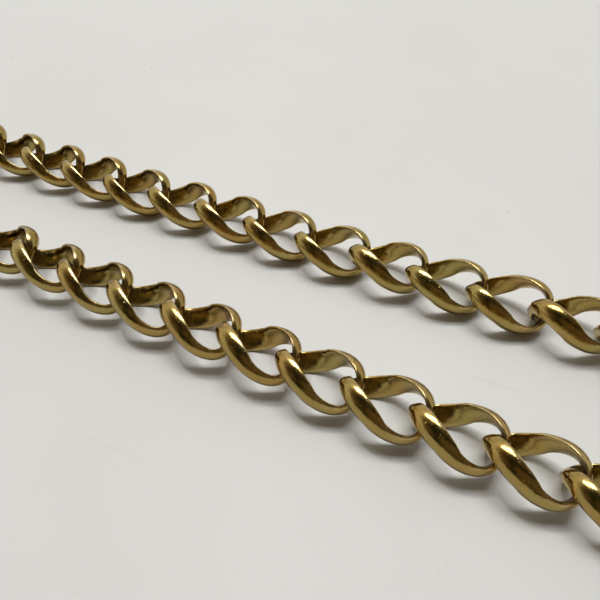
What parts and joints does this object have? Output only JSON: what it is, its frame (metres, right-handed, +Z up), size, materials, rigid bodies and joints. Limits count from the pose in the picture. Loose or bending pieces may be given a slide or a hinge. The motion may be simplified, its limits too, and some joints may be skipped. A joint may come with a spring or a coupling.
{
  "type": "pocket watch chain",
  "caption": "Double Albert watch chain: tapered curb links in two arms on a centre ring, with a T-bar and a swivel clip at the end of each arm.",
  "frame": {"origin": "centre of the bounding box in plan, at the surface the chain lies on", "axes": "+X along the two arms from the T-bar to the clips, +Y from the front arm to the rear arm, +Z up off the surface"},
  "size_m": [0.2252, 0.041, 0.0078],
  "materials": {
    "link_brass": "polished, worn through use",
    "ring_brass": "polished",
    "bar_brass": "polished",
    "hook_brass": "polished casting",
    "eye_brass": "polished",
    "gate_brass": "polished",
    "pin_steel": "plain",
    "spring_steel": "plain"
  },
  "bodies": {
    "center_ring": {"center_ring": "ring_brass"},
    "t_bar_ring": {"t_bar_ring": "ring_brass"},
    "t_bar": {"t_bar_loop": "bar_brass", "t_bar_rod": "bar_brass"},
    "front_link_01": {"front_link_01": "link_brass"},
    "front_link_02": {"front_link_02": "link_brass"},
    "front_link_03": {"front_link_03": "link_brass"},
    "front_link_04": {"front_link_04": "link_brass"},
    "front_link_05": {"front_link_05": "link_brass"},
    "front_link_06": {"front_link_06": "link_brass"},
    "front_link_07": {"front_link_07": "link_brass"},
    "front_link_08": {"front_link_08": "link_brass"},
    "front_link_09": {"front_link_09": "link_brass"},
    "front_link_10": {"front_link_10": "link_brass"},
    "front_link_11": {"front_link_11": "link_brass"},
    "front_link_12": {"front_link_12": "link_brass"},
    "front_link_13": {"front_link_13": "link_brass"},
    "front_link_14": {"front_link_14": "link_brass"},
    "front_link_15": {"front_link_15": "link_brass"},
    "front_link_16": {"front_link_16": "link_brass"},
    "front_link_17": {"front_link_17": "link_brass"},
    "front_link_18": {"front_link_18": "link_brass"},
    "front_jump_ring": {"front_jump_ring": "ring_brass"},
    "front_swivel_eye": {"front_swivel_eye": "eye_brass"},
    "front_hook": {"front_hook_body": "hook_brass", "front_gate_pin": "pin_steel", "front_gate_spring": "spring_steel"},
    "front_gate": {"front_gate": "gate_brass"},
    "rear_link_01": {"rear_link_01": "link_brass"},
    "rear_link_02": {"rear_link_02": "link_brass"},
    "rear_link_03": {"rear_link_03": "link_brass"},
    "rear_link_04": {"rear_link_04": "link_brass"},
    "rear_link_05": {"rear_link_05": "link_brass"},
    "rear_link_06": {"rear_link_06": "link_brass"},
    "rear_link_07": {"rear_link_07": "link_brass"},
    "rear_link_08": {"rear_link_08": "link_brass"},
    "rear_link_09": {"rear_link_09": "link_brass"},
    "rear_link_10": {"rear_link_10": "link_brass"},
    "rear_link_11": {"rear_link_11": "link_brass"},
    "rear_link_12": {"rear_link_12": "link_brass"},
    "rear_link_13": {"rear_link_13": "link_brass"},
    "rear_link_14": {"rear_link_14": "link_brass"},
    "rear_link_15": {"rear_link_15": "link_brass"},
    "rear_link_16": {"rear_link_16": "link_brass"},
    "rear_link_17": {"rear_link_17": "link_brass"},
    "rear_link_18": {"rear_link_18": "link_brass"},
    "rear_jump_ring": {"rear_jump_ring": "ring_brass"},
    "rear_swivel_eye": {"rear_swivel_eye": "eye_brass"},
    "rear_hook": {"rear_hook_body": "hook_brass", "rear_gate_pin": "pin_steel", "rear_gate_spring": "spring_steel"},
    "rear_gate": {"rear_gate": "gate_brass"}
  },
  "joints": [
    {"name": "t_bar_ring_swing", "type": "hinge", "parent": "center_ring", "child": "t_bar_ring", "pos_m": [-0.10307, 0.00121, 0.00381], "axis": [0, 1, 0], "range_deg": [-45, 45]},
    {"name": "t_bar_turn", "type": "hinge", "parent": "t_bar_ring", "child": "t_bar", "pos_m": [-0.10647, 0.00121, 0.00315], "axis": [0, 0, 1], "range_deg": [-45, 45]},
    {"name": "front_bend_01", "type": "hinge", "parent": "center_ring", "child": "front_link_01", "pos_m": [-0.09365, -0.00265, 0.00387], "axis": [0.7016, 0.7125, 0], "range_deg": [-45, 45]},
    {"name": "front_bend_02", "type": "hinge", "parent": "front_link_01", "child": "front_link_02", "pos_m": [-0.08461, -0.00742, 0.00372], "axis": [0.4462, 0.7495, 0.4891], "range_deg": [-45, 24]},
    {"name": "front_bend_03", "type": "hinge", "parent": "front_link_02", "child": "front_link_03", "pos_m": [-0.07728, -0.0093, 0.00361], "axis": [-0.066, -0.47, 0.8802], "range_deg": [-45, 42]},
    {"name": "front_bend_04", "type": "hinge", "parent": "front_link_03", "child": "front_link_04", "pos_m": [-0.0649, -0.00997, 0.00371], "axis": [-0.0702, -0.7916, -0.607], "range_deg": [-45, 45]},
    {"name": "front_bend_05", "type": "hinge", "parent": "front_link_04", "child": "front_link_05", "pos_m": [-0.05729, -0.00997, 0.00349], "axis": [0.0687, 0.5158, -0.8539], "range_deg": [-45, 22]},
    {"name": "front_bend_06", "type": "hinge", "parent": "front_link_05", "child": "front_link_06", "pos_m": [-0.04491, -0.0104, 0.00347], "axis": [0.0515, 0.7601, 0.6478], "range_deg": [-40, 42]},
    {"name": "front_bend_07", "type": "hinge", "parent": "front_link_06", "child": "front_link_07", "pos_m": [-0.0373, -0.01041, 0.00363], "axis": [-0.0635, -0.446, 0.8928], "range_deg": [-45, 45]},
    {"name": "front_bend_08", "type": "hinge", "parent": "front_link_07", "child": "front_link_08", "pos_m": [-0.02491, -0.01084, 0.00381], "axis": [-0.0576, -0.8091, -0.5848], "range_deg": [-45, 45]},
    {"name": "front_bend_09", "type": "hinge", "parent": "front_link_08", "child": "front_link_09", "pos_m": [-0.0173, -0.01084, 0.00365], "axis": [0.0624, 0.4318, -0.8998], "range_deg": [-45, 30]},
    {"name": "front_bend_10", "type": "hinge", "parent": "front_link_09", "child": "front_link_10", "pos_m": [-0.00492, -0.01128, 0.0037], "axis": [0.0587, 0.8183, 0.5718], "range_deg": [-45, 45]},
    {"name": "front_bend_11", "type": "hinge", "parent": "front_link_10", "child": "front_link_11", "pos_m": [0.00269, -0.01128, 0.00379], "axis": [-0.0559, -0.3494, 0.9353], "range_deg": [-45, 45]},
    {"name": "front_bend_12", "type": "hinge", "parent": "front_link_11", "child": "front_link_12", "pos_m": [0.01508, -0.01171, 0.00382], "axis": [-0.065, -0.866, -0.4958], "range_deg": [-45, 45]},
    {"name": "front_bend_13", "type": "hinge", "parent": "front_link_12", "child": "front_link_13", "pos_m": [0.02269, -0.01171, 0.00353], "axis": [0.0671, 0.4933, -0.8673], "range_deg": [-45, 14]},
    {"name": "front_bend_14", "type": "hinge", "parent": "front_link_13", "child": "front_link_14", "pos_m": [0.03507, -0.01215, 0.00355], "axis": [0.0535, 0.7767, 0.6276], "range_deg": [-45, 44]},
    {"name": "front_bend_15", "type": "hinge", "parent": "front_link_14", "child": "front_link_15", "pos_m": [0.04268, -0.01215, 0.00362], "axis": [-0.0638, -0.4498, 0.8908], "range_deg": [-45, 45]},
    {"name": "front_bend_16", "type": "hinge", "parent": "front_link_15", "child": "front_link_16", "pos_m": [0.05507, -0.01258, 0.00363], "axis": [-0.0573, -0.8066, -0.5883], "range_deg": [-44, 45]},
    {"name": "front_bend_17", "type": "hinge", "parent": "front_link_16", "child": "front_link_17", "pos_m": [0.06268, -0.01259, 0.00343], "axis": [0.0706, 0.5415, -0.8377], "range_deg": [-45, 22]},
    {"name": "front_bend_18", "type": "hinge", "parent": "front_link_17", "child": "front_link_18", "pos_m": [0.07506, -0.01302, 0.00364], "axis": [0.0491, 0.7402, 0.6706], "range_deg": [-45, 45]},
    {"name": "front_jump_ring_swing", "type": "hinge", "parent": "front_link_18", "child": "front_jump_ring", "pos_m": [0.08502, -0.01392, 0.0039], "axis": [0.0551, 0.7896, 0.6112], "range_deg": [-26, 26]},
    {"name": "front_eye_swing", "type": "hinge", "parent": "front_jump_ring", "child": "front_swivel_eye", "pos_m": [0.0887, -0.01425, 0.00399], "axis": [-0.0753, -0.6071, 0.7911], "range_deg": [-45, 45]},
    {"name": "front_hook_swivel", "type": "hinge", "parent": "front_swivel_eye", "child": "front_hook", "pos_m": [0.09308, -0.01434, 0.00351], "axis": [0.9938, -0.0217, -0.1092], "continuous": true},
    {"name": "front_gate_open", "type": "hinge", "parent": "front_hook", "child": "front_gate", "pos_m": [0.09954, -0.01883, 0.00279], "axis": [0.1092, -0.0024, 0.994], "range_deg": [0, 35], "stiffness_Nm_per_rad": 0.004, "springref_deg": -45.84},
    {"name": "rear_bend_01", "type": "hinge", "parent": "center_ring", "child": "rear_link_01", "pos_m": [-0.09262, 0.00362, 0.00374], "axis": [-0.4369, 0.8995, 0], "range_deg": [-36, 40]},
    {"name": "rear_bend_02", "type": "hinge", "parent": "rear_link_01", "child": "rear_link_02", "pos_m": [-0.08358, 0.00842, 0.00364], "axis": [-0.4163, 0.7054, 0.5737], "range_deg": [-20, 45]},
    {"name": "rear_bend_03", "type": "hinge", "parent": "rear_link_02", "child": "rear_link_03", "pos_m": [-0.07625, 0.01039, 0.00357], "axis": [0.0394, -0.5193, 0.8537], "range_deg": [-30, 45]},
    {"name": "rear_bend_04", "type": "hinge", "parent": "rear_link_03", "child": "rear_link_04", "pos_m": [-0.06387, 0.01103, 0.0033], "axis": [0.0618, -0.7584, -0.6488], "range_deg": [-45, 8]},
    {"name": "rear_bend_05", "type": "hinge", "parent": "rear_link_04", "child": "rear_link_05", "pos_m": [-0.05627, 0.01111, 0.00328], "axis": [-0.034, 0.6277, -0.7777], "range_deg": [-45, 45]},
    {"name": "rear_bend_06", "type": "hinge", "parent": "rear_link_05", "child": "rear_link_06", "pos_m": [-0.04387, 0.01146, 0.00348], "axis": [-0.0409, 0.6677, 0.7433], "range_deg": [-45, 45]},
    {"name": "rear_bend_07", "type": "hinge", "parent": "rear_link_06", "child": "rear_link_07", "pos_m": [-0.03627, 0.01154, 0.00332], "axis": [0.0332, -0.6146, 0.7882], "range_deg": [-40, 45]},
    {"name": "rear_bend_08", "type": "hinge", "parent": "rear_link_07", "child": "rear_link_08", "pos_m": [-0.02388, 0.0119, 0.00322], "axis": [0.0416, -0.6801, -0.7319], "range_deg": [-45, 38]},
    {"name": "rear_bend_09", "type": "hinge", "parent": "rear_link_08", "child": "rear_link_09", "pos_m": [-0.01628, 0.01198, 0.00335], "axis": [-0.0327, 0.6057, -0.795], "range_deg": [-45, 45]},
    {"name": "rear_bend_10", "type": "hinge", "parent": "rear_link_09", "child": "rear_link_10", "pos_m": [-0.00388, 0.01234, 0.00349], "axis": [-0.042, 0.6882, 0.7243], "range_deg": [-45, 45]},
    {"name": "rear_bend_11", "type": "hinge", "parent": "rear_link_10", "child": "rear_link_11", "pos_m": [0.00372, 0.01242, 0.00322], "axis": [0.0355, -0.6526, 0.7568], "range_deg": [-26, 42]},
    {"name": "rear_bend_12", "type": "hinge", "parent": "rear_link_11", "child": "rear_link_12", "pos_m": [0.01611, 0.01277, 0.00325], "axis": [0.0395, -0.6432, -0.7647], "range_deg": [-45, 45]},
    {"name": "rear_bend_13", "type": "hinge", "parent": "rear_link_12", "child": "rear_link_13", "pos_m": [0.02371, 0.01285, 0.00359], "axis": [-0.0268, 0.5073, -0.8613], "range_deg": [-45, 45]},
    {"name": "rear_bend_14", "type": "hinge", "parent": "rear_link_13", "child": "rear_link_14", "pos_m": [0.03611, 0.01321, 0.00327], "axis": [-0.0464, 0.7692, 0.6374], "range_deg": [-12, 45]},
    {"name": "rear_bend_15", "type": "hinge", "parent": "rear_link_14", "child": "rear_link_15", "pos_m": [0.04371, 0.01329, 0.0034], "axis": [0.0391, -0.7115, 0.7016], "range_deg": [-45, 30]},
    {"name": "rear_bend_16", "type": "hinge", "parent": "rear_link_15", "child": "rear_link_16", "pos_m": [0.0561, 0.01364, 0.00365], "axis": [0.036, -0.5795, -0.8142], "range_deg": [-45, 45]},
    {"name": "rear_bend_17", "type": "hinge", "parent": "rear_link_16", "child": "rear_link_17", "pos_m": [0.0637, 0.01372, 0.00337], "axis": [-0.0322, 0.5985, -0.8005], "range_deg": [-42, 22]},
    {"name": "rear_bend_18", "type": "hinge", "parent": "rear_link_17", "child": "rear_link_18", "pos_m": [0.0761, 0.01408, 0.00353], "axis": [-0.0424, 0.6947, 0.718], "range_deg": [-26, 20]},
    {"name": "rear_jump_ring_swing", "type": "hinge", "parent": "rear_link_18", "child": "rear_jump_ring", "pos_m": [0.08608, 0.01466, 0.00356], "axis": [-0.0333, 0.5318, 0.8462], "range_deg": [-26, 26]},
    {"name": "rear_eye_swing", "type": "hinge", "parent": "rear_jump_ring", "child": "rear_swivel_eye", "pos_m": [0.08978, 0.01487, 0.00357], "axis": [0.0473, -0.8449, 0.5329], "range_deg": [-45, 45]},
    {"name": "rear_hook_swivel", "type": "hinge", "parent": "rear_swivel_eye", "child": "rear_hook", "pos_m": [0.09416, 0.01497, 0.00317], "axis": [0.9956, 0.0217, -0.0908], "continuous": true},
    {"name": "rear_gate_open", "type": "hinge", "parent": "rear_hook", "child": "rear_gate", "pos_m": [0.10082, 0.01076, 0.00257], "axis": [0.0908, 0.002, 0.9959], "range_deg": [0, 35], "stiffness_Nm_per_rad": 0.004, "springref_deg": -45.84}
  ]
}
